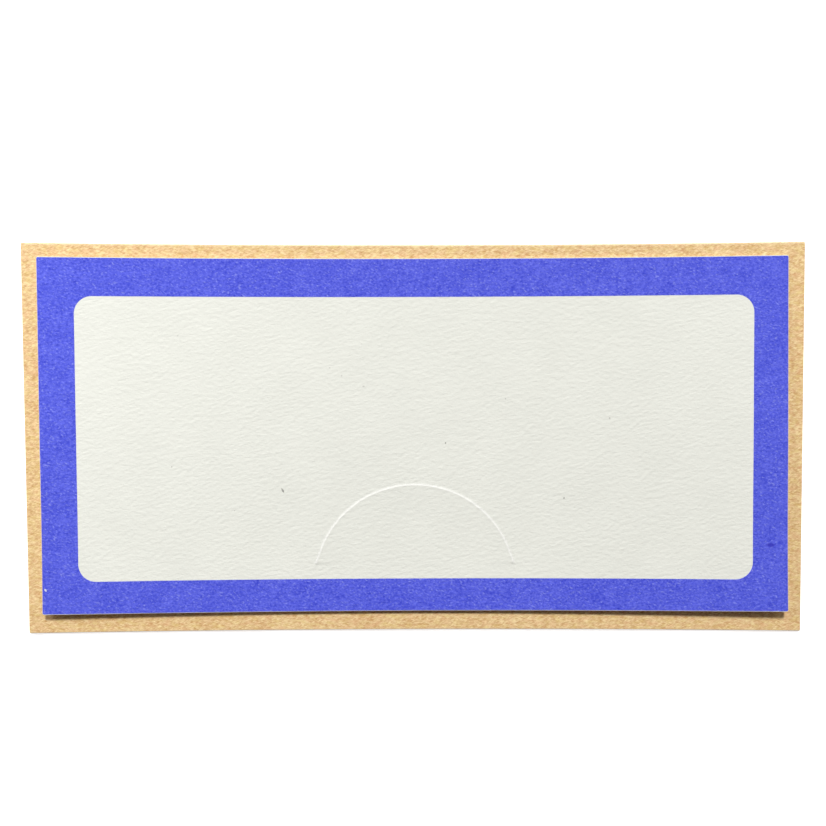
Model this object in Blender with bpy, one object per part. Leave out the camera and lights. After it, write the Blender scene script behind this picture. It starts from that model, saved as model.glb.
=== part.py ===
"""A money envelope: a kraft envelope of DL size and the gift card that lies on it.

The envelope is one kraft blank, folded round a flat pocket. The front panel lies on top. Seam flaps turn under at
both short sides, the back panel turns under at the bottom and is glued to them, and a gummed flap closes the top.
The card is one leaf of felt-marked stock with a printed border. A half-moon tab in it, cut free all round but for
its root, holds a banknote on the bare panel inside the border.

Metres, +Z up. X runs along the length and Y from the bottom fold to the closure flap's fold. The origin is under the
middle of the envelope, on the surface that the closed flap lies on.
"""

import math
from collections import namedtuple

import bmesh
import bpy
from mathutils import Vector

MM = 0.001

# Thickness of each sheet and film
KRAFT = 0.16 * MM
CARD_STOCK = 0.45 * MM
GLUE_FILM = 0.04 * MM
GUM_FILM = 0.04 * MM
INK_FILM = 0.02 * MM

# Clearances
BOND_GAP = 0.01 * MM  # between a film and the sheet that it is stuck to
AIR_GAP = 0.05 * MM  # between sheets that lie loose on each other
POCKET_GAP = 0.20 * MM  # inside the pocket, between the seam flaps and the front panel
SPLIT = 0.02 * MM  # where two pieces of one sheet meet end to end
CORNER_NOTCH = 0.10 * MM  # bare corner of the blank between two folds
HINGE_CLEARANCE = 0.05 * MM  # between the turning flap's root and the fold that it turns round

# Kraft envelope, closed
ENVELOPE_LENGTH = 220 * MM
ENVELOPE_HEIGHT = 110 * MM

# Seam flaps, folded in from the short sides
SEAM_FLAP_WIDTH = 17 * MM
SEAM_FLAP_TAPER = 6 * MM
SEAM_FLAP_CORNER = 3 * MM

# Back panel, folded up from the bottom over the seam flaps
THROAT_DEPTH = 14 * MM  # from the top edge down to the back panel, where the pocket opens
BACK_PANEL_INSET = 0.8 * MM
BACK_PANEL_TAPER = 3 * MM
BACK_PANEL_CORNER = 8 * MM

# Glue lines between the seam flaps and the back panel
GLUE_INSET = 5 * MM
GLUE_MARGIN = 4 * MM  # to the seam flap's free edge
GLUE_END_MARGIN = 8 * MM
GLUE_CORNER = 2 * MM

# Closure flap, hinged on the top fold, with its band of gum
FLAP_OVERLAP = 24 * MM  # on the back panel
FLAP_INSET = 1 * MM
FLAP_TAPER = 8 * MM
FLAP_CORNER = 10 * MM
FLAP_LIP = 0.30 * MM  # how much further back than it must the turning flap starts
GUM_WIDTH = 11 * MM
GUM_MARGIN = 3 * MM
GUM_END_MARGIN = 8 * MM
GUM_CORNER = 3 * MM

# Card leaf, cut to go into the envelope
CARD_MARGIN = 5 * MM  # how much smaller than the envelope it is on each side
CARD_CORNER = 0.6 * MM
CARD_SHIFT = 0.8 * MM  # towards the closure flap's fold

# Printed border round the bare panel, which the printer set a little off centre
BORDER_LEFT = 9.7 * MM
BORDER_RIGHT = 9.3 * MM
BORDER_TOP = 10.65 * MM
BORDER_BOTTOM = 9.35 * MM
PANEL_CORNER = 5 * MM

# Half-moon tab: an arc that runs out into two straight legs, and a nick at the foot of each leg
TAB_RADIUS = 28.5 * MM
TAB_HALF_TURN = math.radians(70)
TAB_LEG = 4 * MM
TAB_ABOVE_BORDER = 4.4 * MM
TAB_ROOT_GAP = 0.05 * MM
KERF = 0.3 * MM
NICK_LENGTH = 1.0 * MM

# Facets
FOLD_STEPS = 10
CORNER_STEPS = 8
TAB_STEPS = 48
SMOOTH_BELOW = math.radians(30)

# Colours, as red, green and blue from 0 to 255, and roughness
KRAFT_BROWN = (232, 198, 144)
CARD_WHITE = (238, 239, 230)
BORDER_BLUE = (92, 100, 224)
GLUE_CLEAR = (225, 205, 168)
GUM_PALE = (214, 190, 150)
KRAFT_ROUGHNESS = 0.90
CARD_ROUGHNESS = 0.85
BORDER_ROUGHNESS = 0.70
GLUE_ROUGHNESS = 0.50
GUM_ROUGHNESS = 0.35

# Heights of the layers, from the closed flap up to the print
FLAP_LOW = 0.0
GUM_LOW = FLAP_LOW + KRAFT + BOND_GAP
BACK_LOW = GUM_LOW + GUM_FILM + AIR_GAP
GLUE_LOW = BACK_LOW + KRAFT + BOND_GAP
SEAM_LOW = GLUE_LOW + GLUE_FILM + BOND_GAP
FRONT_LOW = SEAM_LOW + KRAFT + POCKET_GAP
CARD_LOW = FRONT_LOW + KRAFT + AIR_GAP
CARD_TOP = CARD_LOW + CARD_STOCK
INK_LOW = CARD_TOP + BOND_GAP

# A fold turns the sheet under. along runs along its crease, out points out of the envelope, line is how far out the
# sheet starts to turn, and radius is that of the sheet's middle.
Fold = namedtuple("Fold", "along out line radius")
EAST = Vector((1, 0, 0))
NORTH = Vector((0, 1, 0))
UP = Vector((0, 0, 1))


def fold_at(along, out, edge, lower_sheet):
    """The fold that turns the front panel's sheet under at an outer edge, down to a sheet at that height."""
    radius = (FRONT_LOW - lower_sheet) / 2
    return Fold(along, out, edge - radius - KRAFT / 2, radius)


TOP = fold_at(EAST, NORTH, ENVELOPE_HEIGHT / 2, FLAP_LOW)
BOTTOM = fold_at(EAST, -NORTH, ENVELOPE_HEIGHT / 2, BACK_LOW)
LEFT = fold_at(NORTH, -EAST, ENVELOPE_LENGTH / 2, SEAM_LOW)
RIGHT = fold_at(NORTH, EAST, ENVELOPE_LENGTH / 2, SEAM_LOW)

# Sizes that follow from the others
BACK_PANEL_HEIGHT = ENVELOPE_HEIGHT - THROAT_DEPTH
FLAP_DEPTH = THROAT_DEPTH + FLAP_OVERLAP
GLUE_WIDTH = SEAM_FLAP_WIDTH - GLUE_INSET - GLUE_MARGIN
CARD_LENGTH = ENVELOPE_LENGTH - 2 * CARD_MARGIN
CARD_HEIGHT = ENVELOPE_HEIGHT - 2 * CARD_MARGIN
PANEL_LENGTH = CARD_LENGTH - BORDER_LEFT - BORDER_RIGHT
PANEL_HEIGHT = CARD_HEIGHT - BORDER_TOP - BORDER_BOTTOM

# Where the closure flap turns, and the place of the card and its tab
FLAP_AXIS = Vector((0, TOP.line, FRONT_LOW + KRAFT / 2 - TOP.radius))
CARD_MIDDLE = Vector((0, CARD_SHIFT, 0))
PANEL_MIDDLE = CARD_MIDDLE + Vector((BORDER_LEFT - BORDER_RIGHT, BORDER_BOTTOM - BORDER_TOP, 0)) / 2
TAB_FOOT = PANEL_MIDDLE.y - PANEL_HEIGHT / 2 + TAB_ABOVE_BORDER
TAB_AXIS = Vector((CARD_MIDDLE.x, TAB_FOOT + TAB_ROOT_GAP, CARD_TOP))


def clear_scene():
    for old in list(bpy.data.objects):
        bpy.data.objects.remove(old, do_unlink=True)


def linear(value):
    """One colour channel from 0 to 255, as a linear value."""
    share = value / 255
    return share / 12.92 if share <= 0.04045 else ((share + 0.055) / 1.055) ** 2.4


def finish_of(name, colour, roughness):
    """A plain non-metal surface of one colour."""
    material = bpy.data.materials.new(name)
    material.use_nodes = True
    shader = material.node_tree.nodes["Principled BSDF"]
    shader.inputs["Base Color"].default_value = (*map(linear, colour), 1)
    shader.inputs["Roughness"].default_value = roughness
    shader.inputs["Metallic"].default_value = 0
    return material


def arc(centre, radius, start, end, steps):
    """Points on an arc, both ends included. Angles run from the first axis towards the second."""
    angles = [start + (end - start) * step / steps for step in range(steps + 1)]
    return [(centre[0] + radius * math.cos(a), centre[1] + radius * math.sin(a)) for a in angles]


def rounded(corners):
    """An outline from (place, radius) corners, each sharp at radius 0 and otherwise an arc that touches its sides."""
    outline = []
    for index, (corner, radius) in enumerate(corners):
        point = Vector(corner)
        back = (Vector(corners[index - 1][0]) - point).normalized()
        ahead = (Vector(corners[(index + 1) % len(corners)][0]) - point).normalized()
        if not radius:
            outline.append(tuple(point))
            continue
        half = back.angle(ahead) / 2
        centre = point + (back + ahead).normalized() * radius / math.sin(half)
        first = point + back * radius / math.tan(half) - centre
        turn = first.angle_signed(point + ahead * radius / math.tan(half) - centre)
        start = math.atan2(first.y, first.x)
        outline += arc(centre, radius, start, start - turn, CORNER_STEPS)
    return outline


def rounded_rectangle(middle, length, height, radius):
    half, rise = length / 2, height / 2
    ends = [(-half, -rise), (half, -rise), (half, rise), (-half, rise)]
    return rounded([((middle[0] + x, middle[1] + y), radius) for x, y in ends])


def tapered(root, free, half_root, half_free, corner):
    """A flap's outline: square at its root, narrower at its free edge, with rounded free corners."""
    return rounded(
        [
            ((-half_root, root), 0),
            ((half_root, root), 0),
            ((half_free, free), corner),
            ((-half_free, free), corner),
        ]
    )


def flat_face(outline):
    """One face inside an outline, at height 0."""
    mesh = bmesh.new()
    mesh.faces.new([mesh.verts.new((x, y, 0)) for x, y in outline])
    return mesh


def pierced_face(outline, hole):
    """Faces between an outline and a hole in it, at height 0."""
    mesh = bmesh.new()
    for loop in (outline, hole):
        corners = [mesh.verts.new((x, y, 0)) for x, y in loop]
        for first, second in zip(corners, corners[1:] + corners[:1]):
            mesh.edges.new((first, second))
    bmesh.ops.triangle_fill(mesh, use_beauty=True, use_dissolve=False, edges=mesh.edges[:])
    return mesh


def thicken(mesh, thickness):
    """Pulls the faces at height 0 up into a closed sheet."""
    pulled = bmesh.ops.extrude_face_region(mesh, geom=mesh.faces[:])["geom"]
    raised = [item for item in pulled if isinstance(item, bmesh.types.BMVert)]
    bmesh.ops.translate(mesh, verts=raised, vec=UP * thickness)
    face_out(mesh)


def face_out(mesh):
    """Points every face of a closed sheet outwards."""
    bmesh.ops.recalc_face_normals(mesh, faces=mesh.faces[:])
    if mesh.calc_volume(signed=True) < 0:
        bmesh.ops.reverse_faces(mesh, faces=mesh.faces[:])


def score(mesh, fold):
    """Cuts a face across at each facet of a fold, so that it can turn there."""
    for step in range(FOLD_STEPS + 1):
        place = NORTH * math.pi * fold.radius * step / FOLD_STEPS
        parts = mesh.verts[:] + mesh.edges[:] + mesh.faces[:]
        bmesh.ops.bisect_plane(mesh, geom=parts, plane_co=place, plane_no=NORTH)


def fold_under(mesh, fold):
    """Wraps a sheet round a fold. It was drawn flat: x along the crease, y past the fold's line, z up to one thickness.

    The sheet turns under over the first half circle past the line, and lies flat and upside down after it. Its outer
    face, which was on top, stays on the outside.
    """
    turning = math.pi * fold.radius
    centre = FRONT_LOW + KRAFT / 2 - fold.radius
    for vert in mesh.verts:
        x, y, z = vert.co
        angle = min(max(y, 0), turning) / fold.radius
        from_centre = fold.radius + z - KRAFT / 2
        reach = fold.line + from_centre * math.sin(angle) - max(y - turning, 0)
        vert.co = fold.along * x + fold.out * reach + UP * (centre + from_centre * math.cos(angle))
    face_out(mesh)


def add_object(name, mesh, finish, pivot=None, parent=None):
    """Makes a mesh in place into an object whose own origin is the pivot."""
    pivot = pivot or Vector((0, 0, 0))
    bmesh.ops.translate(mesh, verts=mesh.verts[:], vec=-pivot)
    data = bpy.data.meshes.new(name)
    mesh.to_mesh(data)
    mesh.free()
    data.shade_smooth()
    data.set_sharp_from_angle(angle=SMOOTH_BELOW)
    data.materials.append(finish)
    made = bpy.data.objects.new(name, data)
    bpy.context.scene.collection.objects.link(made)
    made.parent = parent
    made.location = pivot - (parent.location if parent else Vector((0, 0, 0)))
    return made


def flat_sheet(outline, low, thickness, hole=None):
    """A flat sheet from one height up, with at most one hole."""
    mesh = pierced_face(outline, hole) if hole else flat_face(outline)
    thicken(mesh, thickness)
    bmesh.ops.translate(mesh, verts=mesh.verts[:], vec=UP * low)
    return mesh


def folded_sheet(outline, fold):
    """A piece of the kraft blank, turned under by a fold."""
    mesh = flat_face(outline)
    score(mesh, fold)
    thicken(mesh, KRAFT)
    fold_under(mesh, fold)
    return mesh


def past(fold, width):
    """How far past a fold's line an edge lies on the blank, if it ends up that far in from the outer edge."""
    return math.pi * fold.radius + width - fold.radius - KRAFT / 2


def strip(first, last, start, end):
    return [(start, first), (end, first), (end, last), (start, last)]


def flap_start():
    """How far in from its axis the closure flap starts: swung right over, it then lies clear of the fold."""
    return math.sqrt(2 * TOP.radius * KRAFT) + HINGE_CLEARANCE + FLAP_LIP


def top_lip():
    """How far the top fold runs on below, inside the circle that the flap's root keeps to as it turns."""
    inner, outer = TOP.radius - KRAFT / 2, TOP.radius + KRAFT / 2
    circle = math.hypot(flap_start(), inner) - HINGE_CLEARANCE
    return math.sqrt(circle**2 - outer**2)


def make_front_panel(kraft):
    outline = [(RIGHT.line, -BOTTOM.line), (RIGHT.line, TOP.line), (-LEFT.line, TOP.line), (-LEFT.line, -BOTTOM.line)]
    return add_object("front_panel", flat_sheet(outline, FRONT_LOW, KRAFT), kraft)


def make_long_folds(kraft):
    """The bottom fold, and the top fold with the lip that runs on under the closure flap's root."""
    half = RIGHT.line
    under = strip(SPLIT, math.pi * BOTTOM.radius, -half, half)
    add_object("bottom_fold", folded_sheet(under, BOTTOM), kraft)
    under = strip(SPLIT, math.pi * TOP.radius + top_lip(), -half, half)
    add_object("top_fold", folded_sheet(under, TOP), kraft)


def make_side(name, fold, kraft, glue):
    """One short side: its fold, the seam flap that it turns under, and the glue line below that flap."""
    bottom, top = CORNER_NOTCH - BOTTOM.line, TOP.line - CORNER_NOTCH
    middle, half = (bottom + top) / 2, (top - bottom) / 2
    turned = strip(SPLIT, math.pi * fold.radius, bottom, top)
    add_object(f"{name}_fold", folded_sheet(turned, fold), kraft)

    root = math.pi * fold.radius + SPLIT
    flap = tapered(root, past(fold, SEAM_FLAP_WIDTH), half, half - SEAM_FLAP_TAPER, SEAM_FLAP_CORNER)
    flap = [(middle + along, beyond) for along, beyond in flap]
    add_object(f"{name}_seam_flap", folded_sheet(flap, fold), kraft)

    low = GLUE_END_MARGIN - ENVELOPE_HEIGHT / 2
    high = BACK_PANEL_HEIGHT - ENVELOPE_HEIGHT / 2 - GLUE_END_MARGIN
    across = fold.out.x * (ENVELOPE_LENGTH / 2 - GLUE_INSET - GLUE_WIDTH / 2)
    line = rounded_rectangle((across, (low + high) / 2), GLUE_WIDTH, high - low, GLUE_CORNER)
    add_object(f"{name}_seam_glue", flat_sheet(line, GLUE_LOW, GLUE_FILM), glue)


def make_back_panel(kraft):
    root = math.pi * BOTTOM.radius + SPLIT
    half = RIGHT.line - BACK_PANEL_INSET
    outline = tapered(root, past(BOTTOM, BACK_PANEL_HEIGHT), half, half - BACK_PANEL_TAPER, BACK_PANEL_CORNER)
    add_object("back_panel", folded_sheet(outline, BOTTOM), kraft)


def make_closure_flap(kraft, gum):
    """The flap and, on its inner face, the band of gum that seals it. Both turn on the top fold's axis."""
    half = RIGHT.line - FLAP_INSET
    root = math.pi * TOP.radius + flap_start()
    outline = tapered(root, past(TOP, FLAP_DEPTH), half, half - FLAP_TAPER, FLAP_CORNER)
    flap = add_object("closure_flap", folded_sheet(outline, TOP), kraft, pivot=FLAP_AXIS)

    middle = ENVELOPE_HEIGHT / 2 - FLAP_DEPTH + GUM_MARGIN + GUM_WIDTH / 2
    length = 2 * (half - FLAP_TAPER - GUM_END_MARGIN)
    band = rounded_rectangle((0, middle), length, GUM_WIDTH, GUM_CORNER)
    add_object("gum_band", flat_sheet(band, GUM_LOW, GUM_FILM), gum, pivot=FLAP_AXIS, parent=flap)


def half_moon(foot, margin):
    """The tab's outline from its right foot over the arc to its left foot, moved out by a margin.

    Each leg carries on straight from the arc's end, down to the height of the foot.
    """
    crest = TAB_RADIUS * (1 - math.cos(TAB_HALF_TURN)) + TAB_LEG * math.sin(TAB_HALF_TURN)
    centre = (TAB_AXIS.x, TAB_FOOT + crest - TAB_RADIUS)
    first = math.pi / 2 - TAB_HALF_TURN
    moon = arc(centre, TAB_RADIUS + margin, first, math.pi - first, TAB_STEPS)
    run = (moon[0][1] - foot) / math.tan(TAB_HALF_TURN)
    return [(moon[0][0] + run, foot), *moon, (moon[-1][0] - run, foot)]


def tab_opening():
    """The hole that the tab lies in: the tab and its kerf, and a nick with a round end out of the foot of each leg."""
    right, *moon, left = half_moon(TAB_FOOT + KERF, KERF)
    end = right[0] + NICK_LENGTH
    nick = arc((end, TAB_FOOT + KERF / 2), KERF / 2, -math.pi / 2, math.pi / 2, CORNER_STEPS)
    middle = (right[0] + left[0]) / 2
    mirrored = [(2 * middle - x, y) for x, y in reversed(nick)]
    return [*nick, right, *moon, left, *mirrored]


def make_card(stock, blue):
    """The leaf with the tab's opening in it, the printed border on it, and the tab itself."""
    outline = rounded_rectangle(CARD_MIDDLE, CARD_LENGTH, CARD_HEIGHT, CARD_CORNER)
    leaf_mesh = flat_sheet(outline, CARD_LOW, CARD_STOCK, hole=tab_opening())
    leaf = add_object("card_leaf", leaf_mesh, stock)

    panel = rounded_rectangle(PANEL_MIDDLE, PANEL_LENGTH, PANEL_HEIGHT, PANEL_CORNER)
    print_mesh = flat_sheet(outline, INK_LOW, INK_FILM, hole=panel)
    add_object("printed_border", print_mesh, blue, parent=leaf)

    tab_mesh = flat_sheet(half_moon(TAB_AXIS.y, 0), CARD_LOW, CARD_STOCK)
    add_object("money_tab", tab_mesh, stock, pivot=TAB_AXIS, parent=leaf)


def main():
    clear_scene()
    kraft = finish_of("kraft_paper", KRAFT_BROWN, KRAFT_ROUGHNESS)
    glue = finish_of("seam_glue", GLUE_CLEAR, GLUE_ROUGHNESS)
    gum = finish_of("dry_gum", GUM_PALE, GUM_ROUGHNESS)
    stock = finish_of("felt_marked_card", CARD_WHITE, CARD_ROUGHNESS)
    blue = finish_of("printed_blue", BORDER_BLUE, BORDER_ROUGHNESS)

    make_front_panel(kraft)
    make_long_folds(kraft)
    make_side("left", LEFT, kraft, glue)
    make_side("right", RIGHT, kraft, glue)
    make_back_panel(kraft)
    make_closure_flap(kraft, gum)
    make_card(stock, blue)


main()
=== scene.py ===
"""The looks of a money envelope: a kraft envelope of DL size and the bordered gift card that lies on it.

The envelope is made as two folded kraft pieces, one with the front and the closure flap, one with the
turned-in sides and the back. The card is one leaf of felt-marked stock that has curled a little, with a
printed border. A half-moon tab is cut free of it along a slit whose lips stand up.

Metres, in the frame of the CAD model: X along the length, Y up the photograph, Z out of the card's face.
"""

import math
from collections import namedtuple

import bpy
import numpy as np
from mathutils import Matrix, Vector


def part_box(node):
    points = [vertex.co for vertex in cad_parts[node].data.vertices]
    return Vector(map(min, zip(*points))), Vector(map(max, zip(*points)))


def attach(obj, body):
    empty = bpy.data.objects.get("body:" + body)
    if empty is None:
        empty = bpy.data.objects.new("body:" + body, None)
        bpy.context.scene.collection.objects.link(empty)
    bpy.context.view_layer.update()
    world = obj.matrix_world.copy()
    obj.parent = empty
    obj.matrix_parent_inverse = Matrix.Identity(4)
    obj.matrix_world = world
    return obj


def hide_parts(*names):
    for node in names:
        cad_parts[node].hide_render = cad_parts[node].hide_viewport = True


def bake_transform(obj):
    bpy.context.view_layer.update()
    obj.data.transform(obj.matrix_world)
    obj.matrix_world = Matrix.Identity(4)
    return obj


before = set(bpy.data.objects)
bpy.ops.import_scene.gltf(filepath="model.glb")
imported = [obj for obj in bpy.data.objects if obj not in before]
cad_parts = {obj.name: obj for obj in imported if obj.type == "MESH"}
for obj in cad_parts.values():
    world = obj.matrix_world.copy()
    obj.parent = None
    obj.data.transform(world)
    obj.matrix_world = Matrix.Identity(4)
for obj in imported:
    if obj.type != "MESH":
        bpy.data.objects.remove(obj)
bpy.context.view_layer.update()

MM = 0.001


def middle_height(node):
    """Half way between the lowest and the highest point of a CAD node."""
    low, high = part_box(node)
    return (low.z + high.z) / 2


# Kraft sheet, read from the frame
FRONT_LOW, FRONT_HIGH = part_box("front_panel")
BACK_LOW, BACK_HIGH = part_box("back_panel")
SEAM_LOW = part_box("right_seam_flap")[0]
FLAP_LOW, FLAP_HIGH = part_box("closure_flap")
GUM_LOW, GUM_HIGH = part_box("gum_band")
KRAFT = FRONT_HIGH.z - FRONT_LOW.z
SHEET_LEVEL = middle_height("front_panel")
HALF_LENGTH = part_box("right_fold")[1].x
HALF_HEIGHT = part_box("top_fold")[1].y

# Card, read from the frame
CARD_LOW, CARD_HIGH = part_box("card_leaf")
TAB_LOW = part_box("money_tab")[0]
STOCK = CARD_HIGH.z - CARD_LOW.z
CARD_MIDDLE = (CARD_LOW + CARD_HIGH) / 2
CARD_HALF = (CARD_HIGH - CARD_LOW) / 2
CARD_RISE = 0.2 * MM  # how much higher its upper edge stands in the photograph
# How far its lower edge runs up: all along, more towards the right, and more at both ends
CARD_TRIM = (0.05 * MM, 0.08 * MM, 0.25 * MM)
CARD_FLARE = 0.36 * MM  # how far its right edge runs out towards the foot
ROOT_DEPTH = 0.3 * MM  # from the line that the tab turns about down to its uncut root
TAB_FOOT = TAB_LOW.y - ROOT_DEPTH

# Kraft outlines
CORNER_ROUNDING = 0.15 * MM
CREASE_SPREAD = 1.5  # how far inside a crease its fibres are broken, as a share of its radius
SEAM_TAPER = 6 * MM
SEAM_CORNER = 3 * MM
BACK_TAPER = 3 * MM
BACK_CORNER = 8 * MM
FLAP_TAPER = 8 * MM
FLAP_CORNER = 10 * MM
GUM_CORNER = 3 * MM
GUM_WAVER = 0.25 * MM
# Sine waves of the gum's edges: length over 2 pi, shift, share of the waver
GUM_UPPER_WAVES = ((2.1 * MM, 0, 0.6), (7.3 * MM, 0, 0.4))
GUM_LOWER_WAVES = ((2.6 * MM, 1, 0.5), (9.1 * MM, 2, 0.5))
STRETCH_GAP = 0.02 * MM  # from the last row of one stretch of a sheet to the first row of the next
SIDE_CLEARANCE = 0.03 * MM  # from the side folds' ends to the long folds' lines

# Rows and columns of points on the kraft sheets
PANEL_ROWS = 60
NEAR_ROWS = 5  # of the part near a crease, whose fibres are broken
FOLD_ROWS = 14
FLAP_ROWS = 26
CORNER_ROWS = 12
KRAFT_COLUMNS = 110
SIDE_COLUMNS = 60
GUM_COLUMNS = 260
GUM_ROWS = 14

# Printed border and the bare panel inside it
BORDER_LEFT = 10.15 * MM
BORDER_RIGHT = 9.53 * MM
BORDER_TOP = 10.57 * MM
BORDER_BOTTOM = 9.25 * MM
PANEL_CORNER = 5 * MM
CARD_CORNER = 0.45 * MM
INK_RIM = 0.08 * MM  # where the ink stops short of the cut edge
INK_TOP_RIM = 0.14 * MM
INK_LOWER_RIM = 0.13 * MM
INK_GAP = 0.01 * MM
INK_FILM = 0.02 * MM
EDGE_ROUNDING = 0.08 * MM

# Points on the card: along the opening's root, hook and slit, along the border's sides and corners
ROOT_POINTS = 44
HOOK_POINTS = 8
SLIT_POINTS = 96
SLIT_TO_LEG = 8  # of so many points of the slit's half, one lies on its leg
TAB_SLIT_POINTS = 110
TAB_HOOK_POINTS = 5
SIDE_POINTS = 39  # of those that face the slit, how many lie on the card's short side
UPPER_CORNER_POINTS = 7
LOOP_POINTS = (150, 70, 14)
BORDER_ROWS = 12

# Rows on the card: how far from the slit they lie, and how they go round the cut edge
LEAF_ROWS = 62
LEAF_NEAR_SLIT = np.array([0, 0.05, 0.1, 0.16, 0.23, 0.31, 0.4, 0.5, 0.7, 1.0, 1.5, 2.2]) * MM
TAB_NEAR_SLIT = np.array([0, 0.07, 0.15, 0.25, 0.37, 0.5, 0.65, 0.82, 1.0, 1.3, 1.8, 2.5]) * MM
TAB_ROWS = (20, 14)  # up to near the root, and from there to the root
NEAR_ROOT = 0.88  # the share of the way to the root at which its rows draw together
ROOT_NARROWING = 0.5  # how far in towards the middle the tab's rows run, as a share of the width
SHOULDER = np.radians([0, 20, 45, 65, 90])

# Slit round the tab
TAB_RADIUS = 28.6 * MM
TAB_HALF_TURN = math.radians(70)
TAB_LEG = 4.3 * MM
SLIT = 0.012 * MM
HOOK_LENGTH = 1.05 * MM
HOOK_WIDTH = 0.1 * MM

# Lips that the die pushed up along the slit: heights, and how far each dies away
CREST = 0.36 * MM  # how far inside the slit they are highest
OUTER_LIP = (0.14 * MM, 0.75 * MM)
OUTER_SWELL = (0.02 * MM, 3 * MM)
INNER_LIP = (0.04 * MM, 0.9 * MM)
INNER_SWELL = (0.12 * MM, 12 * MM)
# The pale band along the slit is partly fibres laid bare by the die and partly a painted highlight where
# the crest catches the light
FRAYED_AND_HIGHLIT = 0.5 * MM  # how far from the crest the lips show pale fibres and a painted highlight
LIP_START = (-0.6 * MM, 0.9 * MM)  # between which heights over the slit's feet the lips come up
FRAY_AND_HIGHLIGHT_START = (-0.3 * MM, 0.6 * MM)  # and the pale fibres with their painted highlight

# Outline as measured in the photograph: the long edges are drawn in between the corners
LONGER = 0.001
HIGHER = 0.0072
DRAWN_IN = 0.0155
OUT_OF_SQUARE = (0.002, 0.0013)  # of the envelope alone: how its x drops with y, and its y with x
TO_THE_RIGHT = 0.06 * MM  # how far the envelope alone lies over

# How far the card has curled up off the envelope
CURL_ALONG = 1.34 * MM
CURL_FOOT = (2.06 * MM, 0.35)  # its rise towards the lower edge, and how far down the card that starts
CURL_HEAD = (0.74 * MM, 0.3)  # the same towards the upper edge
CURL_LOWER = -0.50 * MM
CURL_ENDS = -0.52 * MM
CURL_TWIST = -0.405 * MM
CURL_SIDE = -0.095 * MM

SHARP = math.radians(40)  # faces that meet at more than this are an edge

Fold = namedtuple("Fold", "along out line radius")
EAST = np.array([1.0, 0.0, 0.0])
NORTH = np.array([0.0, 1.0, 0.0])
UP = np.array([0.0, 0.0, 1.0])


def fold_onto(along, out, line, lower_level):
    """The fold that turns the front panel's sheet under, down to another sheet's middle height."""
    return Fold(along, out, line, (SHEET_LEVEL - lower_level) / 2)


TOP = fold_onto(EAST, NORTH, FRONT_HIGH.y, FLAP_LOW.z + KRAFT / 2)
BOTTOM = fold_onto(EAST, -NORTH, -FRONT_LOW.y, BACK_LOW.z + KRAFT / 2)
LEFT = fold_onto(NORTH, -EAST, -FRONT_LOW.x, SEAM_LOW.z + KRAFT / 2)
RIGHT = fold_onto(NORTH, EAST, FRONT_HIGH.x, SEAM_LOW.z + KRAFT / 2)


def as_measured(points, slot):
    """Points with x stretched by 1 + l and y by 1 + h - d(1 - (x/a)²), so that the long edges bow in.

    The kraft sheets are also sheared and moved over, by c - p y along X and by -q x along Y.
    """
    x, y, z = points.T
    taller = 1 + HIGHER - DRAWN_IN * (1 - (x / HALF_LENGTH) ** 2)
    moved = np.stack([x * (1 + LONGER), y * taller, z], axis=1)
    if slot == "kraft_paper":
        moved[:, :2] += np.stack([TO_THE_RIGHT - OUT_OF_SQUARE[0] * y, -OUT_OF_SQUARE[1] * x], axis=1)
    return moved


def ease(start, end, value):
    """Rises smoothly from 0 at start to 1 at end: 3t² - 2t³ of the share t of the way."""
    share = np.clip((value - start) / (end - start), 0, 1)
    return share * share * (3 - 2 * share)


def joined(*runs):
    """One row of numbers from several runs, of which each starts where the last one ended."""
    return np.concatenate([runs[0]] + [run[1:] for run in runs[1:]])


def build(name, shells, slot, material, paleness=None):
    """A mesh from closed shells, each a list of points and one of faces, with every shell facing outwards.

    The paleness of each point, where it is given, is kept on the mesh for the material to use.
    """
    points, faces = [], []
    for shell_points, shell_faces in shells:
        corners = shell_points[shell_faces]
        first, second, third, fourth = (corners[:, index] for index in range(4))
        twice = np.cross(third - first, fourth - second)
        volume = (twice * (first + second + third + fourth)).sum()
        ordered = shell_faces if volume > 0 else shell_faces[:, ::-1]
        faces.append(ordered + sum(len(part) for part in points))
        points.append(as_measured(shell_points, slot))
    points, faces = np.concatenate(points), np.concatenate(faces)
    mesh = bpy.data.meshes.new(name)
    mesh.from_pydata(points.tolist(), [], faces.tolist())
    mesh.shade_smooth()
    mesh.set_sharp_from_angle(angle=SHARP)
    mesh.materials.append(material)
    if paleness is not None:
        kept = mesh.attributes.new("paleness", "FLOAT", "POINT")
        kept.data.foreach_set("value", paleness.astype(np.float32))
    piece = bpy.data.objects.new(name, mesh)
    bpy.context.scene.collection.objects.link(piece)
    return piece


def sheet_shell(face, back, ring=False):
    """The closed shell between two grids of points, rows by columns: two faces, and walls at their edges.

    On a ring the last column joins the first, and only the first and last rows have walls.
    """
    rows, columns = face.shape[:2]
    count = rows * columns
    index = np.arange(count).reshape(rows, columns)
    if ring:
        index = np.concatenate([index, index[:, :1]], axis=1)
    corners = [index[:-1, :-1], index[:-1, 1:], index[1:, 1:], index[1:, :-1]]
    quads = np.stack([corner.ravel() for corner in corners], axis=1)
    edges = [(index[0, :-1], index[0, 1:]), (index[-1, 1:], index[-1, :-1])]
    if not ring:
        edges += [(index[1:, 0], index[:-1, 0]), (index[:-1, -1], index[1:, -1])]
    walls = [np.stack([end, start, start + count, end + count], axis=1) for start, end in edges]
    faces = np.concatenate([quads, quads[:, ::-1] + count, *walls])
    return np.concatenate([face.reshape(-1, 3), back.reshape(-1, 3)]), faces


def round_end(half, corner):
    """Distances back from a flap's free edge through its rounded corners, and the half width at each.

    The corner is a quarter circle: at a distance d from the edge, the half width is less by
    r - sqrt(r² - (r - d)²).
    """
    turn = np.linspace(0, math.pi / 2, CORNER_ROWS)
    return corner * (1 - np.cos(turn)), half - corner * (1 - np.sin(turn))


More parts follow.
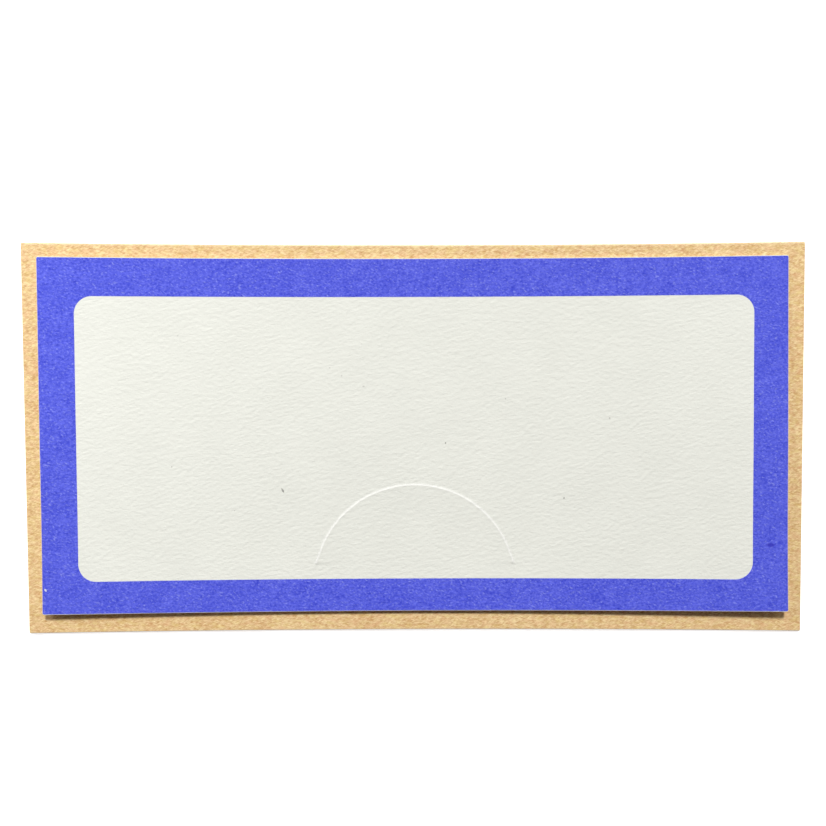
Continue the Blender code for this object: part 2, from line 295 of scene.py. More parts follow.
def folded(fold, past, half_width, middle=0.0, columns=KRAFT_COLUMNS):
    """A kraft sheet on a grid that runs past a fold's line.

    Up to the line it is flat. Past it, the sheet's middle follows a half circle of the fold's radius, and
    then runs back flat below. Both faces lie half a thickness to the sides of the middle.
    """
    across = np.linspace(-1, 1, columns)
    along = middle + half_width[:, None] * across
    turning = math.pi * fold.radius
    angle = np.clip(past, 0, turning)[:, None] / fold.radius
    flat = (np.minimum(past, 0) - np.maximum(past - turning, 0))[:, None]
    centre = SHEET_LEVEL - fold.radius
    sides = []
    for offset in (KRAFT / 2, -KRAFT / 2):
        reach = fold.line + flat + (fold.radius + offset) * np.sin(angle) + 0 * along
        height = centre + (fold.radius + offset) * np.cos(angle) + 0 * along
        sides.append(along[..., None] * fold.along + reach[..., None] * fold.out + height[..., None] * UP)
    return sheet_shell(*sides)


def creased(fold, shell):
    """How pale the broken fibres are at a shell's points: s², where s rises from 0 to 1 across the crease.

    It does so over c + 1 times the fold's radius, of which c times lie inside the fold's line.
    """
    inside = CREASE_SPREAD * fold.radius
    return np.clip((shell[0] @ fold.out - fold.line + inside) / (inside + fold.radius), 0, 1) ** 2


def beyond(fold, depth):
    """How far past a fold's line an edge lies on the flat sheet: the half circle's length π r, and then on.

    The depth is measured in from the envelope's outer edge, which lies at r + t/2 past the line.
    """
    return math.pi * fold.radius + depth - fold.radius - KRAFT / 2


def flap_rows(fold, depth, root_half, taper, corner):
    """Rows of a flap that tapers to rounded corners: distances past the fold's line, and half widths."""
    end = beyond(fold, depth)
    root = math.pi * fold.radius
    back, half = round_end(root_half - taper, corner)
    slope = taper / (end - root)
    near = root + CREASE_SPREAD * fold.radius
    level = joined(np.linspace(root, near, NEAR_ROWS), np.linspace(near, end - corner, FLAP_ROWS))
    past = joined(level, (end - back)[::-1])
    return past, joined(root_half - (level - root) * slope, (half + back * slope)[::-1])


def make_front_and_flap(kraft):
    """The front panel, the crease along its top and the closure flap: one sheet, which bends at the crease.

    Its rows run up the panel, round the crease's half circle and back down the flap.
    """
    lower = FRONT_LOW.y - FRONT_HIGH.y
    near = -CREASE_SPREAD * TOP.radius
    panel = joined(np.linspace(lower, near, PANEL_ROWS), np.linspace(near, 0, NEAR_ROWS))
    crease = np.linspace(0, math.pi * TOP.radius, FOLD_ROWS)
    root_half = FLAP_HIGH.x
    flap, flap_half = flap_rows(TOP, HALF_HEIGHT - FLAP_LOW.y, root_half, FLAP_TAPER, FLAP_CORNER)
    past = np.concatenate([panel, crease, flap])
    past[len(panel)] += STRETCH_GAP
    past[len(panel) + len(crease)] += STRETCH_GAP
    panel_half = np.full(len(panel), FRONT_HIGH.x)
    crease_half = np.full(len(crease), HALF_LENGTH - CORNER_ROUNDING)
    shell = folded(TOP, past, np.concatenate([panel_half, crease_half, flap_half]))
    piece = build("kraft_front_and_flap", [shell], "kraft_paper", kraft, creased(TOP, shell))
    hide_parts("front_panel", "top_fold", "closure_flap")
    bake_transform(piece)


def make_sides_and_back(kraft):
    """The seam flaps that turn in at both short sides, and the back panel that turns up at the bottom.

    The rows of each run round its crease's half circle and then in along the flap.
    """
    shells = []
    low, high = FRONT_LOW.y + SIDE_CLEARANCE, FRONT_HIGH.y - SIDE_CLEARANCE
    middle, half = (low + high) / 2, (high - low) / 2
    for fold in (LEFT, RIGHT):
        crease = np.linspace(0, math.pi * fold.radius, FOLD_ROWS)
        flap, flap_half = flap_rows(fold, HALF_LENGTH - SEAM_LOW.x, half, SEAM_TAPER, SEAM_CORNER)
        halves = joined(np.full(len(crease), half), flap_half)
        shells.append(folded(fold, joined(crease, flap), halves, middle, SIDE_COLUMNS))
    crease = np.linspace(0, math.pi * BOTTOM.radius, FOLD_ROWS)
    back, back_half = flap_rows(BOTTOM, HALF_HEIGHT + BACK_HIGH.y, BACK_HIGH.x, BACK_TAPER, BACK_CORNER)
    back[0] += STRETCH_GAP
    crease_half = np.full(len(crease), HALF_LENGTH - CORNER_ROUNDING)
    past, halves = np.concatenate([crease, back]), np.concatenate([crease_half, back_half])
    shells.append(folded(BOTTOM, past, halves))
    paleness = [creased(fold, shell) for fold, shell in zip((LEFT, RIGHT, BOTTOM), shells)]
    piece = build("kraft_sides_and_back", shells, "kraft_paper", kraft, np.concatenate(paleness))
    names = ["left_fold", "right_fold", "bottom_fold", "left_seam_flap", "right_seam_flap", "back_panel"]
    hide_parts(*names)
    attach(piece, "envelope")


def wavering(reach, x, waves):
    """How far the gum's edge reaches, with sine waves of x added, each by length, shift and share."""
    return sum((GUM_WAVER * np.sin(x / length + shift) * share for length, shift, share in waves), reach)


def make_gum(gum):
    """The band of gum on the flap's inner face, with edges that waver where the wheel laid it down.

    The half width at x is the band's own less the waver, rounded off at both ends by a quarter circle, plus
    a sum of two sine waves.
    """
    half = (GUM_HIGH - GUM_LOW) / 2
    centre = (GUM_HIGH + GUM_LOW) / 2
    x = np.linspace(-half.x, half.x, GUM_COLUMNS)
    inset = np.clip(GUM_CORNER - (half.x - np.abs(x)), 0, GUM_CORNER)
    reach = half.y - GUM_CORNER + np.sqrt(np.maximum(GUM_CORNER**2 - inset**2, 0)) - GUM_WAVER
    upper = wavering(reach, x, GUM_UPPER_WAVES)
    lower = wavering(reach, x, GUM_LOWER_WAVES)
    share = np.linspace(0, 1, GUM_ROWS)[:, None]
    y = centre.y - lower + share * (upper + lower)
    sides = [np.stack([x + 0 * y, y, np.full_like(y, z)], axis=-1) for z in (GUM_HIGH.z, GUM_LOW.z)]
    piece = build("gum_line", [sheet_shell(*sides)], "dry_gum", gum)
    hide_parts("gum_band")
    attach(piece, "closure_flap")


def curl(x, y):
    """How far the card has curled up at a place.

    With u and v from -1 to 1 along and across the card, this is a(-v - r)² below -r and b(v - s)² above s,
    plus (g + c v + d v²) u² for its ends, plus (e + f v) u for its twist.
    """
    u = (x - CARD_MIDDLE.x) / CARD_HALF.x
    v = (y - CARD_MIDDLE.y) / CARD_HALF.y
    sides = ((-v, CURL_FOOT), (v, CURL_HEAD))
    middle = sum(rise * np.clip(way - start, 0, None) ** 2 for way, (rise, start) in sides)
    ends = (CURL_ALONG + CURL_LOWER * v + CURL_ENDS * v * v) * u * u
    return middle + ends + (CURL_SIDE + CURL_TWIST * v) * u


def tab_centre():
    """The middle of the tab's arc: over its feet by l sin(a) of a leg, less r cos(a) of the arc."""
    drop = TAB_LEG * math.sin(TAB_HALF_TURN)
    return np.array([0.0, TAB_FOOT + drop - TAB_RADIUS * math.cos(TAB_HALF_TURN)])


def slit_distance(x, y):
    """How far a place lies outside the slit, negative inside.

    That is its distance from the arc's middle, less the radius. Beside a leg, only the part of the distance
    that is square to the leg counts.
    """
    centre = tab_centre()
    along, up = np.abs(x - centre[0]), y - centre[1]
    on_arc = np.arctan2(along, up) <= TAB_HALF_TURN
    leg = along * math.sin(TAB_HALF_TURN) + up * math.cos(TAB_HALF_TURN)
    return np.where(on_arc, np.hypot(along, up), leg) - TAB_RADIUS


def lip(x, y):
    """The lips that the die pushed up along the slit.

    At a distance d from their crest each part is h(1 - d/w)² high: two parts outside the crest and two
    inside, which add up to the same height there. They die away at the feet.
    """
    away = slit_distance(x, y) + CREST
    parts = [np.where(away > 0, 1, 0) * height * np.clip(1 - away / reach, 0, 1) ** 2
             for height, reach in (OUTER_LIP, OUTER_SWELL)]
    parts += [np.where(away > 0, 0, 1) * height * np.clip(1 + away / reach, 0, 1) ** 2
              for height, reach in (INNER_LIP, INNER_SWELL)]
    return sum(parts) * ease(TAB_FOOT + LIP_START[0], TAB_FOOT + LIP_START[1], y)


def frayed_and_highlit(shell_points):
    """How pale the card is near the slit, from fibres laid bare and a painted highlight on the lips: (1 -
    (d/w)²)² at a distance d from the middle of the lips.
    """
    x, y = shell_points[:, 0], shell_points[:, 1]
    share = np.clip((slit_distance(x, y) + CREST / 2) / FRAYED_AND_HIGHLIT, -1, 1)
    return (1 - share**2) ** 2 * ease(TAB_FOOT + FRAY_AND_HIGHLIGHT_START[0], TAB_FOOT + FRAY_AND_HIGHLIGHT_START[1], y)


def card_top(x, y):
    """The height of the card's upper face: that of the flat card, plus the curl, plus the lips."""
    return CARD_HIGH.z + curl(x, y) + lip(x, y)


def slit_path(columns, margin):
    """The slit's right half from its foot to its top: a straight leg, then an arc, a margin further out."""
    centre = tab_centre()
    radius = TAB_RADIUS + margin
    turn = math.pi / 2 - TAB_HALF_TURN
    leg = columns // SLIT_TO_LEG
    angles = np.linspace(turn, math.pi / 2, columns - leg)
    arc = centre + radius * np.stack([np.cos(angles), np.sin(angles)], axis=1)
    foot = arc[0] + np.array([1 / math.tan(TAB_HALF_TURN), -1]) * (arc[0][1] - TAB_FOOT)
    share = np.linspace(0, 1, leg + 1)[:-1, None]
    return np.concatenate([foot + (arc[0] - foot) * share, arc])


def straight(start, end, steps):
    """Points at even steps along a straight line."""
    share = np.linspace(0, 1, steps)[:, None]
    return np.array(start) + (np.array(end) - np.array(start)) * share


def corner_arc(centre, radius, start, end, steps):
    """Points at even steps round an arc, between two angles in degrees."""
    angles = np.radians(np.linspace(start, end, steps))
    return np.array(centre) + radius * np.stack([np.cos(angles), np.sin(angles)], axis=1)


def mirrored(path):
    """A loop from its right half, which runs from the bottom to the top and has the two middle points."""
    other = path[::-1][1:-1] * np.array([-1, 1])
    return np.concatenate([path, other])


def root_end():
    """Where the uncut root meets the hook that the slit's foot ends in."""
    return slit_path(SLIT_POINTS, 0)[0][0] - HOOK_LENGTH


def opening_half():
    """The tab's opening, its right half from the root's middle on: root, hook, then the slit's outside."""
    slit = slit_path(SLIT_POINTS, SLIT / 2)
    end = (root_end(), TAB_FOOT)
    hook = straight(end, slit[0], HOOK_POINTS)[1:]
    return np.concatenate([straight((0, TAB_FOOT), end, ROOT_POINTS), hook, slit[1:]])


def edge_half(half_x, low, high, corner):
    """The right half of a rounded rectangle, point for point with the opening's half.

    Its lower side faces the root, its lower corner the hook, and the rest the slit.
    """
    lower = straight((0, low), (half_x - corner, low), ROOT_POINTS)
    turn = corner_arc((half_x - corner, low + corner), corner, -90, 0, HOOK_POINTS - 1)
    rise = straight((half_x, low + corner), (half_x, high - corner), SIDE_POINTS + 2)[1:-1]
    bend = corner_arc((half_x - corner, high - corner), corner, 0, 90, UPPER_CORNER_POINTS)
    last = SLIT_POINTS - SIDE_POINTS - UPPER_CORNER_POINTS
    upper = straight((half_x - corner, high), (0, high), last)[1:]
    return np.concatenate([lower, turn, rise, bend, upper])


def sheet_at(points, depth):
    """Places on the card at a depth below its upper face."""
    x, y = points[..., 0], points[..., 1]
    return np.stack([x, y, card_top(x, y) - depth], axis=-1)


def as_cut(outline):
    """The card's outline as the knife left it, at u and v from -1 to 1 along and across the card.

    With w = (1 - v)/2, x grows by f u w on the right half, and y by (g + h u + k u⁴) w.
    """
    u = outline[:, 0] / CARD_HALF.x
    lower = (1 - (outline[:, 1] - CARD_MIDDLE.y) / CARD_HALF.y) / 2
    level, tilt, bow = CARD_TRIM
    moves = np.stack([CARD_FLARE * np.clip(u, 0, 1), level + tilt * u + bow * u**4], axis=1)
    return outline + moves * lower[:, None]


def make_leaf(stock):
    """The card's leaf: a ring of rows from the tab's opening out to the cut edge, close together at both.

    Each point lies on the straight line from a point of the opening to one of the edge. The outermost rows
    round the upper face off over a quarter circle.
    """
    inner = mirrored(opening_half())
    low, high = CARD_LOW.y, CARD_HIGH.y + CARD_RISE
    outer = as_cut(mirrored(edge_half(CARD_HALF.x, low, high, CARD_CORNER)))
    length = np.hypot(*(outer - inner).T)
    drop = EDGE_ROUNDING * (1 - np.cos(SHOULDER))
    back = EDGE_ROUNDING * (1 - np.sin(SHOULDER))
    first, last = LEAF_NEAR_SLIT[-1] / length, 1 - back[0] / length
    spread = first + (last - first) * np.linspace(0, 1, LEAF_ROWS)[1:, None]
    share = np.concatenate([np.outer(LEAF_NEAR_SLIT, 1 / length), spread, 1 - back[1:, None] / length])
    points = inner + (outer - inner) * share[..., None]
    lowered = np.zeros(len(share))
    lowered[-len(drop):] = drop
    face = sheet_at(points, lowered[:, None] + 0 * share)
    under = sheet_at(points, STOCK + 0 * share)
    shell = sheet_shell(face, under, ring=True)
    piece = build("card_sheet", [shell], "felt_marked_card", stock, frayed_and_highlit(shell[0]))
    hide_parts("card_leaf")
    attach(piece, "card")


def make_tab(stock):
    """The half-moon tab: rows from its cut edge in towards its root, which stays joined to the leaf.

    Each point lies on the straight line from a point of the cut edge to the one that lies below it on the
    root, but half as far from the middle.
    """
    slit = slit_path(TAB_SLIT_POINTS, -SLIT / 2)
    slit[0, 1] += HOOK_WIDTH
    hook = straight((root_end(), TAB_FOOT), slit[0], TAB_HOOK_POINTS)[:-1]
    hook[1:, 1] = slit[0, 1]
    half = np.concatenate([hook, slit])
    outline = np.concatenate([half, half[::-1][1:] * np.array([-1, 1])])
    root = np.stack([outline[:, 0] * ROOT_NARROWING, np.full(len(outline), TAB_FOOT)], axis=1)
    length = np.hypot(*(root - outline).T)
    first = TAB_NEAR_SLIT[-1] / length
    upper, lower = TAB_ROWS
    spread = joined(np.linspace(0, NEAR_ROOT, upper), np.linspace(NEAR_ROOT, 1, lower))[1:, None]
    share = np.concatenate([np.outer(TAB_NEAR_SLIT, 1 / length), first + (1 - first) * spread])
    points = outline + (root - outline) * share[..., None]
    face, under = sheet_at(points, 0 * share), sheet_at(points, STOCK + 0 * share)
    shell = sheet_shell(face, under)
    piece = build("tab_sheet", [shell], "felt_marked_card", stock, frayed_and_highlit(shell[0]))
    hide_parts("money_tab")
    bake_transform(piece)


def panel_loop():
    """The bare panel's outline: a rounded rectangle, with unlike borders on its four sides."""
    left, right = CARD_LOW.x + BORDER_LEFT, CARD_HIGH.x - BORDER_RIGHT
    low, high = CARD_LOW.y + BORDER_BOTTOM, CARD_HIGH.y - BORDER_TOP
    return rounded_loop(left, right, low, high, PANEL_CORNER)


def rounded_loop(left, right, low, high, corner):
    """A rounded rectangle from its lower side's start: each side straight, each corner a quarter circle."""
    long_side, short_side, turn = LOOP_POINTS
    parts = [
        straight((left + corner, low), (right - corner, low), long_side)[:-1],
        corner_arc((right - corner, low + corner), corner, -90, 0, turn)[:-1],
        straight((right, low + corner), (right, high - corner), short_side)[:-1],
        corner_arc((right - corner, high - corner), corner, 0, 90, turn)[:-1],
        straight((right - corner, high), (left + corner, high), long_side)[:-1],
        corner_arc((left + corner, high - corner), corner, 90, 180, turn)[:-1],
        straight((left, high - corner), (left, low + corner), short_side)[:-1],
        corner_arc((left + corner, low + corner), corner, 180, 270, turn)[:-1],
    ]
    return np.concatenate(parts)


def make_border(ink):
    """The printed border: a film that follows the card's curl.

    Its rows lie at even shares of the straight lines from the bare panel's outline to the card's edge.
    """
    inner = panel_loop()
    low, high = CARD_LOW.y + INK_LOWER_RIM, CARD_HIGH.y + CARD_RISE - INK_TOP_RIM
    outer = as_cut(rounded_loop(CARD_LOW.x + INK_RIM, CARD_HIGH.x - INK_RIM, low, high, CARD_CORNER))
    share = np.linspace(0, 1, BORDER_ROWS)[:, None]
    points = inner + (outer - inner) * share[..., None]
    flat = 0 * points[..., 0]
    face = sheet_at(points, flat - INK_GAP - INK_FILM)
    under = sheet_at(points, flat - INK_GAP)
    piece = build("printed_frame", [sheet_shell(face, under, ring=True)], "printed_blue", ink)
    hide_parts("printed_border")
    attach(piece, "card")


# Colours, red, green and blue from 0 to 255
BROWN = (202, 152, 97)
STRAW = (254, 232, 178)
ORANGE = (240, 191, 146)
OCHRE = (228, 201, 120)
BARE_KRAFT = (247, 232, 200)
CARD_SHADE = (233, 235, 225)
CARD_LIGHT = (236, 238, 228)
# The pale colour along the slit: bare fibres and a painted highlight
BARE_CARD_AND_HIGHLIGHT = (253, 253, 249)
DEEP_BLUE = (54, 65, 202)
LIGHT_BLUE = (108, 117, 239)
PALE_BLUE = (176, 184, 250)
THICK_GUM = (196, 168, 122)
THIN_GUM = (222, 200, 160)
THICK_GLUE = (214, 192, 150)
THIN_GLUE = (236, 220, 186)

MIX_COLOURS = (6, 7)  # a Mix node's two colour inputs
MIXED_COLOUR = 2  # and its colour output
NOISE_RANGE = (0.3, 0.7)  # where most of a noise's values lie
SPOT_RIM = (1.25, 0.6)  # where a spot fades out and where it is full, as shares of its size
BARE_AND_HIGHLIGHT_SHARE = 0.5  # how far the pale colour covers the body where fibres are laid bare, and along the slit's lips, where it is also a painted highlight

# Small marks: place, half length and half width in millimetres, angle in degrees, colour
SHIVES = (
    ((-37.3, -14.45), (0.75, 0.24), 118, (176, 176, 168)),
    ((-37.15, -14.6), (0.36, 0.26), 118, (152, 153, 147)),
    ((8.8, -1.2), (0.2, 0.32), 0, (168, 170, 160)),
    ((42.3, -16.9), (0.22, 0.32), -10, (172, 173, 165)),
    ((55.1, 5.7), (0.2, 0.26), 0, (200, 201, 192)),
    ((-68.4, -7.6), (0.26, 0.2), 40, (200, 201, 192)),
    ((-14.3, 14.9), (0.36, 0.2), 0, (206, 207, 198)),
    ((25.7, 11.3), (0.2, 0.26), 20, (206, 207, 198)),
    ((-23.8, 20.1), (0.26, 0.18), 0, (208, 209, 200)),
    ((-20.4, 17.9), (0.18, 0.26), 0, (208, 209, 200)),
    ((-50.9, -20.1), (0.24, 0.18), 30, (209, 210, 201)),
    ((-66.2, 29.2), (0.3, 0.16), 20, (209, 210, 201)),
)
INK_MARKS = (
    ((100.6, -30.3), (1.2, 0.6), 0, (60, 62, 192)),
    ((67.0, -49.05), (0.4, 0.15), 0, (205, 207, 238)),
    ((-104.15, -42.3), (0.28, 0.46), 35, (218, 220, 242)),
)


def linear(colour):
    """Red, green and blue from 0 to 255, as linear values with an alpha of 1."""
    share = np.array(colour) / 255
    bright = ((share + 0.055) / 1.055) ** 2.4
    return (*np.where(share <= 0.04045, share / 12.92, bright), 1.0)


class Surface:
    """A material whose nodes are added one by one, with Object coordinates in metres."""

    def __init__(self, name, roughness, specular):
        """A material of one shader, with its gloss, and the coordinates that its patterns start from."""
        self.material = bpy.data.materials.new(name)
        self.material.use_nodes = True
        self.tree = self.material.node_tree
        self.shader = self.tree.nodes["Principled BSDF"]
        self.shader.inputs["Roughness"].default_value = roughness
        self.shader.inputs["Specular IOR Level"].default_value = specular
        self.place = self.tree.nodes.new("ShaderNodeTexCoord").outputs["Object"]

    def node(self, kind, inputs=(), **settings):
        """A new node with its settings. An input that is a socket is linked, any other one is a value."""
        made = self.tree.nodes.new(kind)
        for name, value in settings.items():
            setattr(made, name, value)
        for name, value in dict(inputs).items():
            if isinstance(value, bpy.types.NodeSocket):
                self.tree.links.new(value, made.inputs[name])
            else:
                made.inputs[name].default_value = value
        return made

    def turned(self, stretch, angle=0.0):
        """The coordinates turned about Z and then scaled along each axis."""
        spun = self.node("ShaderNodeVectorRotate", {"Vector": self.place, "Angle": math.radians(angle)})
        scaled = self.node("ShaderNodeVectorMath", {0: spun.outputs[0], 1: stretch}, operation="MULTIPLY")
        return scaled.outputs[0]

    def noise(self, size, detail=2.0, rough=0.5, stretch=(1, 1, 1), angle=0.0):
        """Fractal noise with lumps of a given size in metres."""
        inputs = {"Scale": 1 / size, "Detail": detail, "Roughness": rough}
        inputs["Vector"] = self.turned(stretch, angle)
        return self.node("ShaderNodeTexNoise", inputs).outputs["Fac"]

    def spread(self, noise, low=0.0, high=1.0):
        """A noise's usual range stretched to run from low to high."""
        return self.ramp(noise, *NOISE_RANGE, low, high)

    def ramp(self, value, start, end, low=0.0, high=1.0):
        """A value that runs from start to end, made to run from low to high and held there."""
        inputs = {"Value": value, "From Min": start, "From Max": end, "To Min": low, "To Max": high}
        return self.node("ShaderNodeMapRange", inputs).outputs[0]

    def paleness(self):
        """What build() kept on the mesh, 0 to 1: how far the sheet's pale fibres are laid bare, and along
        the slit a painted highlight too.
        """
        return self.node("ShaderNodeAttribute", attribute_name="paleness").outputs["Fac"]

    def spot(self, place, size, angle):
        """1 inside a small soft ellipse and 0 outside it, with its place and half sizes in millimetres."""
        centre = (place[0] * MM, place[1] * MM, 0)
        scale = (1 / (size[0] * MM), 1 / (size[1] * MM), 0)
        away = self.node("ShaderNodeVectorMath", {0: self.place, 1: centre}, operation="SUBTRACT")
        spin = {"Vector": away.outputs[0], "Angle": math.radians(-angle)}
        turned = self.node("ShaderNodeVectorRotate", spin)
        scaled = self.node("ShaderNodeVectorMath", {0: turned.outputs[0], 1: scale}, operation="MULTIPLY")
        length = self.node("ShaderNodeVectorMath", {0: scaled.outputs[0]}, operation="LENGTH")
        return self.ramp(length.outputs["Value"], *SPOT_RIM)

    def sum(self, first, second):
        """Two values added up."""
        return self.node("ShaderNodeMath", {0: first, 1: second}, operation="ADD").outputs[0]

    def mix(self, share, first, second):
        """Two colours mixed: the first where the share is 0, the second where it is 1."""
        inputs = {0: share}
        for socket, given in zip(MIX_COLOURS, (first, second)):
            inputs[socket] = linear(given) if isinstance(given, tuple) else given
        return self.node("ShaderNodeMix", inputs, data_type="RGBA").outputs[MIXED_COLOUR]

    def bump(self, height, distance):
        """A relief that is a distance high where the height is 1."""
        made = self.node("ShaderNodeBump", {"Height": height, "Distance": distance, "Strength": 1.0})
        self.tree.links.new(made.outputs[0], self.shader.inputs["Normal"])

    def colour(self, socket):
        """The colour that the surface shows."""
        self.tree.links.new(socket, self.shader.inputs["Base Color"])


def kraft_paper():
    """Unbleached fibres: short pale and brown strands that lie mostly along the sheet, over uneven hues.

    Along the creases the fibres are broken and paler.
    """
    surface = Surface("kraft_paper", roughness=0.5, specular=0.2)
    strands = surface.noise(0.42 * MM, detail=3, rough=0.6, stretch=(0.42, 1.4, 1.0), angle=8)
    crossing = surface.noise(0.40 * MM, detail=2, rough=0.6, stretch=(0.4, 1.3, 1.0), angle=-30)
    lumps = surface.noise(1.2 * MM, detail=2, rough=0.5, stretch=(0.7, 1.3, 1.0))
    clouds = surface.noise(6 * MM, detail=2, rough=0.5)
    tone = surface.sum(surface.spread(strands, -0.6, 0.6), surface.spread(crossing, -0.4, 0.4))
    tone = surface.sum(tone, surface.spread(lumps, -0.25, 0.25))
    tone = surface.sum(tone, surface.spread(clouds, -0.12, 0.12))
    body = surface.mix(surface.ramp(tone, -0.8, 0.8), BROWN, STRAW)
    hue = surface.noise(1.4 * MM, detail=2, rough=0.5, stretch=(0.6, 1.2, 1.0))
    body = surface.mix(surface.ramp(hue, 0.5, 0.72, 0.0, 0.36), body, ORANGE)
    body = surface.mix(surface.ramp(hue, 0.5, 0.28, 0.0, 0.38), body, OCHRE)
    body = surface.mix(surface.ramp(surface.paleness(), 0, 1, 0.0, BARE_AND_HIGHLIGHT_SHARE), body, BARE_KRAFT)
    surface.colour(body)
    surface.bump(surface.sum(lumps, strands), 0.03 * MM)
    return surface.material


def felt_relief(surface):
    """The marks of the felt that the card was pressed on: low rounded lumps."""
    broad = surface.noise(0.95 * MM, detail=3, rough=0.5, stretch=(0.6, 1.0, 1.0), angle=-10)
    narrow = surface.noise(0.6 * MM, detail=2, rough=0.5, stretch=(0.45, 1.0, 1.0), angle=-12)
    surface.bump(surface.sum(broad, surface.ramp(narrow, 0, 1, 0, 0.35)), 0.16 * MM)


def felt_marked_card():
    """Off-white card with felt marks, faint clouds, pale fibres with a painted highlight along the slit and
    a few dark shives.
    """
    surface = Surface("felt_marked_card", roughness=0.85, specular=0.3)
    felt_relief(surface)
    clouds = surface.noise(14 * MM, detail=2, rough=0.5)
    body = surface.mix(surface.spread(clouds), CARD_SHADE, CARD_LIGHT)
    # Paler along the slit's lips: fibres laid bare by the die, with a painted highlight where the crest
    # catches the light
    body = surface.mix(surface.ramp(surface.paleness(), 0, 1, 0.0, BARE_AND_HIGHLIGHT_SHARE), body, BARE_CARD_AND_HIGHLIGHT)
    for place, size, angle, shade in SHIVES:
        body = surface.mix(surface.spot(place, size, angle), body, shade)
    surface.colour(body)
    return surface.material


def printed_blue():
    """Violet-blue ink that has settled unevenly on the felt marks, with pale fibres and chips in it."""
    surface = Surface("printed_blue", roughness=0.8, specular=0.2)
    felt_relief(surface)
    fine = surface.noise(0.5 * MM, detail=3, rough=0.6, stretch=(0.75, 1.0, 1.0))
    clouds = surface.noise(4 * MM, detail=3, rough=0.55)
    tone = surface.sum(surface.spread(fine, -0.5, 0.5), surface.spread(clouds, -0.15, 0.15))
    body = surface.mix(surface.ramp(tone, -0.6, 0.6), DEEP_BLUE, LIGHT_BLUE)
    flecks = surface.noise(0.45 * MM, detail=1, rough=0.5, stretch=(0.6, 1.1, 1.0), angle=20)
    body = surface.mix(surface.ramp(flecks, 0.58, 0.78, 0.0, 0.44), body, PALE_BLUE)
    for place, size, angle, shade in INK_MARKS:
        body = surface.mix(surface.spot(place, size, angle), body, shade)
    surface.colour(body)
    return surface.material


def dry_gum():
    """Dried gum: a glossy thin amber film, darker where it lies thick."""
    surface = Surface("dry_gum", roughness=0.3, specular=0.5)
    puddles = surface.noise(1.6 * MM, detail=3, rough=0.55, stretch=(0.5, 1.0, 1.0))
    surface.colour(surface.mix(surface.spread(puddles), THICK_GUM, THIN_GUM))
    surface.bump(puddles, 0.02 * MM)
    return surface.material


def seam_glue():
    """Cold glue between two kraft sheets: a pale film with thin streaks from the nozzle."""
    surface = Surface("seam_glue_film", roughness=0.5, specular=0.5)
    streaks = surface.noise(0.9 * MM, detail=3, rough=0.55, stretch=(1.0, 0.25, 1.0))
    surface.colour(surface.mix(surface.spread(streaks), THICK_GLUE, THIN_GLUE))
    surface.bump(streaks, 0.01 * MM)
    return surface.material


# Camera, as fitted to the photograph
CAMERA_PLACE = (-1.6 * MM, 18.0 * MM, 255.1 * MM)
CAMERA_TURN = (-2.41, -0.28, -0.19)  # degrees, as a rotation vector
CAMERA_FOCUS = 900 / 826  # as a share of the frame's width
SENSOR = 36

# Soft boxes: name, place, length of a side and power
LAMPS = (
    ("window", (0.043, 2.034, 2.205), 0.5, 85.4),
    ("left_fill", (-0.30, 0.16, 0.20), 0.15, 0.52),
    ("right_fill", (0.30, 0.16, 0.20), 0.15, 0.20),
    ("front_fill", (0, -0.9, 0.07), 0.12, 1.3),
)
SKY = (0.036, 0.020, 0.028)  # the faint warm light from all round
WHITE = (1, 1, 1)

FLOOR_HALF = 3.0
FLOOR_DROP = 0.02 * MM  # how far the floor lies under the envelope
FLOOR_SHADE = (0.9, 0.9, 0.9)
# The floor's own glow for the camera: from this strength near the envelope to white further out
FLOOR_GLOW = 0.75
GLOW_FADE = (0.2, 0.7)


def make_camera():
    """The photograph's camera: above the middle of the card, turned by a rotation vector."""
    data = bpy.data.cameras.new("camera")
    data.sensor_width = SENSOR
    data.lens = SENSOR * CAMERA_FOCUS
    data.clip_start = 1 * MM
    camera = bpy.data.objects.new("camera", data)
    bpy.context.scene.collection.objects.link(camera)
    turn = Vector(CAMERA_TURN)
    rotation = Matrix.Rotation(math.radians(turn.length), 4, turn.normalized())
    camera.matrix_world = Matrix.Translation(CAMERA_PLACE) @ rotation
    bpy.context.scene.camera = camera


def make_lamp(name, place, size, power):
    """A square soft box that faces the middle of the object."""
    data = bpy.data.lights.new(name, "AREA")
    data.size = size
    data.energy = power
    lamp = bpy.data.objects.new(name, data)
    bpy.context.scene.collection.objects.link(lamp)
    lamp.location = place
    lamp.rotation_mode = "QUATERNION"
    lamp.rotation_quaternion = Vector(place).to_track_quat("Z", "Y")


def looked_at(tree):
    """1 for rays from the camera, in a reflection or through glass, and 0 for all that light the object."""
    path = tree.nodes.new("ShaderNodeLightPath")
    total = path.outputs["Is Camera Ray"]
    for name in ("Is Glossy Ray", "Is Transmission Ray"):
        either = tree.nodes.new("ShaderNodeMath")
        either.operation = "MAXIMUM"
        tree.links.new(total, either.inputs[0])
        tree.links.new(path.outputs[name], either.inputs[1])
        total = either.outputs[0]
    return total


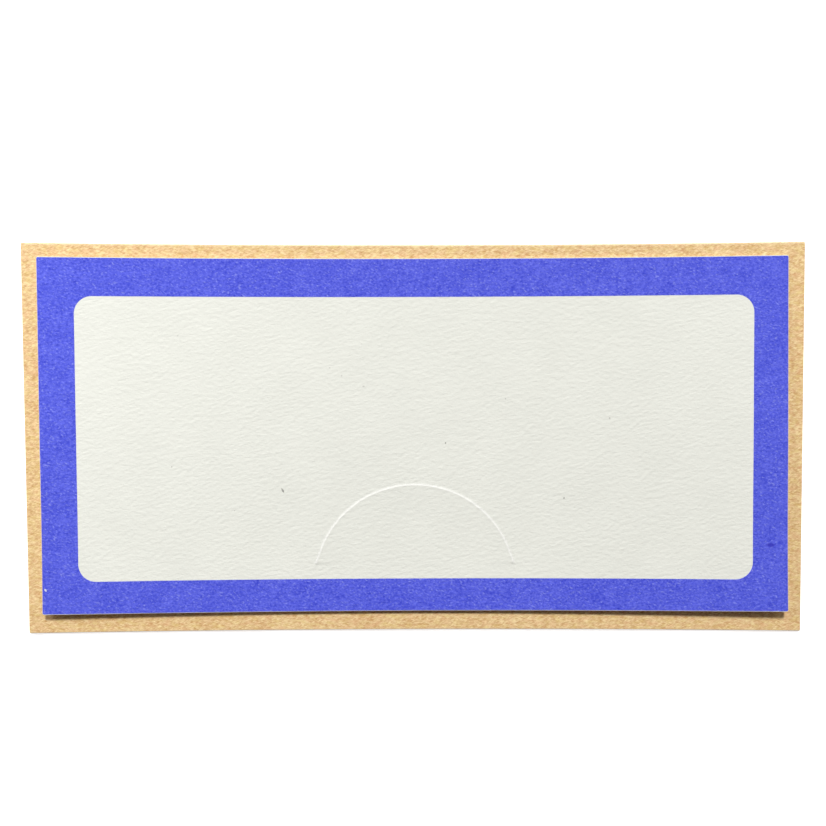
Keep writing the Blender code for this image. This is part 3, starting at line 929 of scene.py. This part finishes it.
def make_stage():
    """A pale floor that shows as white to the camera and keeps the object's shadow."""
    mesh = bpy.data.meshes.new("floor")
    signs = ((-1, -1), (1, -1), (1, 1), (-1, 1))
    corners = [(x * FLOOR_HALF, y * FLOOR_HALF, -FLOOR_DROP) for x, y in signs]
    mesh.from_pydata(corners, [], [(0, 1, 2, 3)])
    material = bpy.data.materials.new("floor")
    material.use_nodes = True
    tree = material.node_tree
    shader = tree.nodes["Principled BSDF"]
    shader.inputs["Base Color"].default_value = (*FLOOR_SHADE, 1)
    shader.inputs["Roughness"].default_value = 1.0
    shader.inputs["Emission Color"].default_value = (*WHITE, 1)
    place = tree.nodes.new("ShaderNodeTexCoord")
    away = tree.nodes.new("ShaderNodeVectorMath")
    away.operation = "LENGTH"
    tree.links.new(place.outputs["Object"], away.inputs[0])
    glow = tree.nodes.new("ShaderNodeMapRange")
    tree.links.new(away.outputs["Value"], glow.inputs["Value"])
    for name, value in zip(("From Min", "From Max", "To Min", "To Max"), (*GLOW_FADE, FLOOR_GLOW, 1.0)):
        glow.inputs[name].default_value = value
    seen = tree.nodes.new("ShaderNodeMath")
    seen.operation = "MULTIPLY"
    tree.links.new(glow.outputs[0], seen.inputs[1])
    tree.links.new(looked_at(tree), seen.inputs[0])
    tree.links.new(seen.outputs[0], shader.inputs["Emission Strength"])
    mesh.materials.append(material)
    floor = bpy.data.objects.new("floor", mesh)
    bpy.context.scene.collection.objects.link(floor)


def make_world():
    """A sky that is white to the camera and gives only a faint even light."""
    world = bpy.data.worlds.new("studio")
    bpy.context.scene.world = world
    world.use_nodes = True
    tree = world.node_tree
    background = tree.nodes["Background"]
    seen = tree.nodes.new("ShaderNodeMix")
    seen.data_type = "RGBA"
    tree.links.new(looked_at(tree), seen.inputs[0])
    for socket, colour in zip(MIX_COLOURS, (SKY, WHITE)):
        seen.inputs[socket].default_value = (*colour, 1)
    tree.links.new(seen.outputs[MIXED_COLOUR], background.inputs["Color"])


def main():
    """The pieces, the CAD films' material, the camera, the stage and the lamps, then a plain view
    transform.
    """
    kraft, stock, ink = kraft_paper(), felt_marked_card(), printed_blue()
    make_front_and_flap(kraft)
    make_sides_and_back(kraft)
    make_gum(dry_gum())
    make_leaf(stock)
    make_tab(stock)
    make_border(ink)
    glue = seam_glue()
    for name in ("left_seam_glue", "right_seam_glue"):
        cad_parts[name].material_slots[0].material = glue
    make_camera()
    make_stage()
    make_world()
    for name, place, size, power in LAMPS:
        make_lamp(name, place, size, power)
    bpy.context.scene.view_settings.view_transform = "Standard"


main()
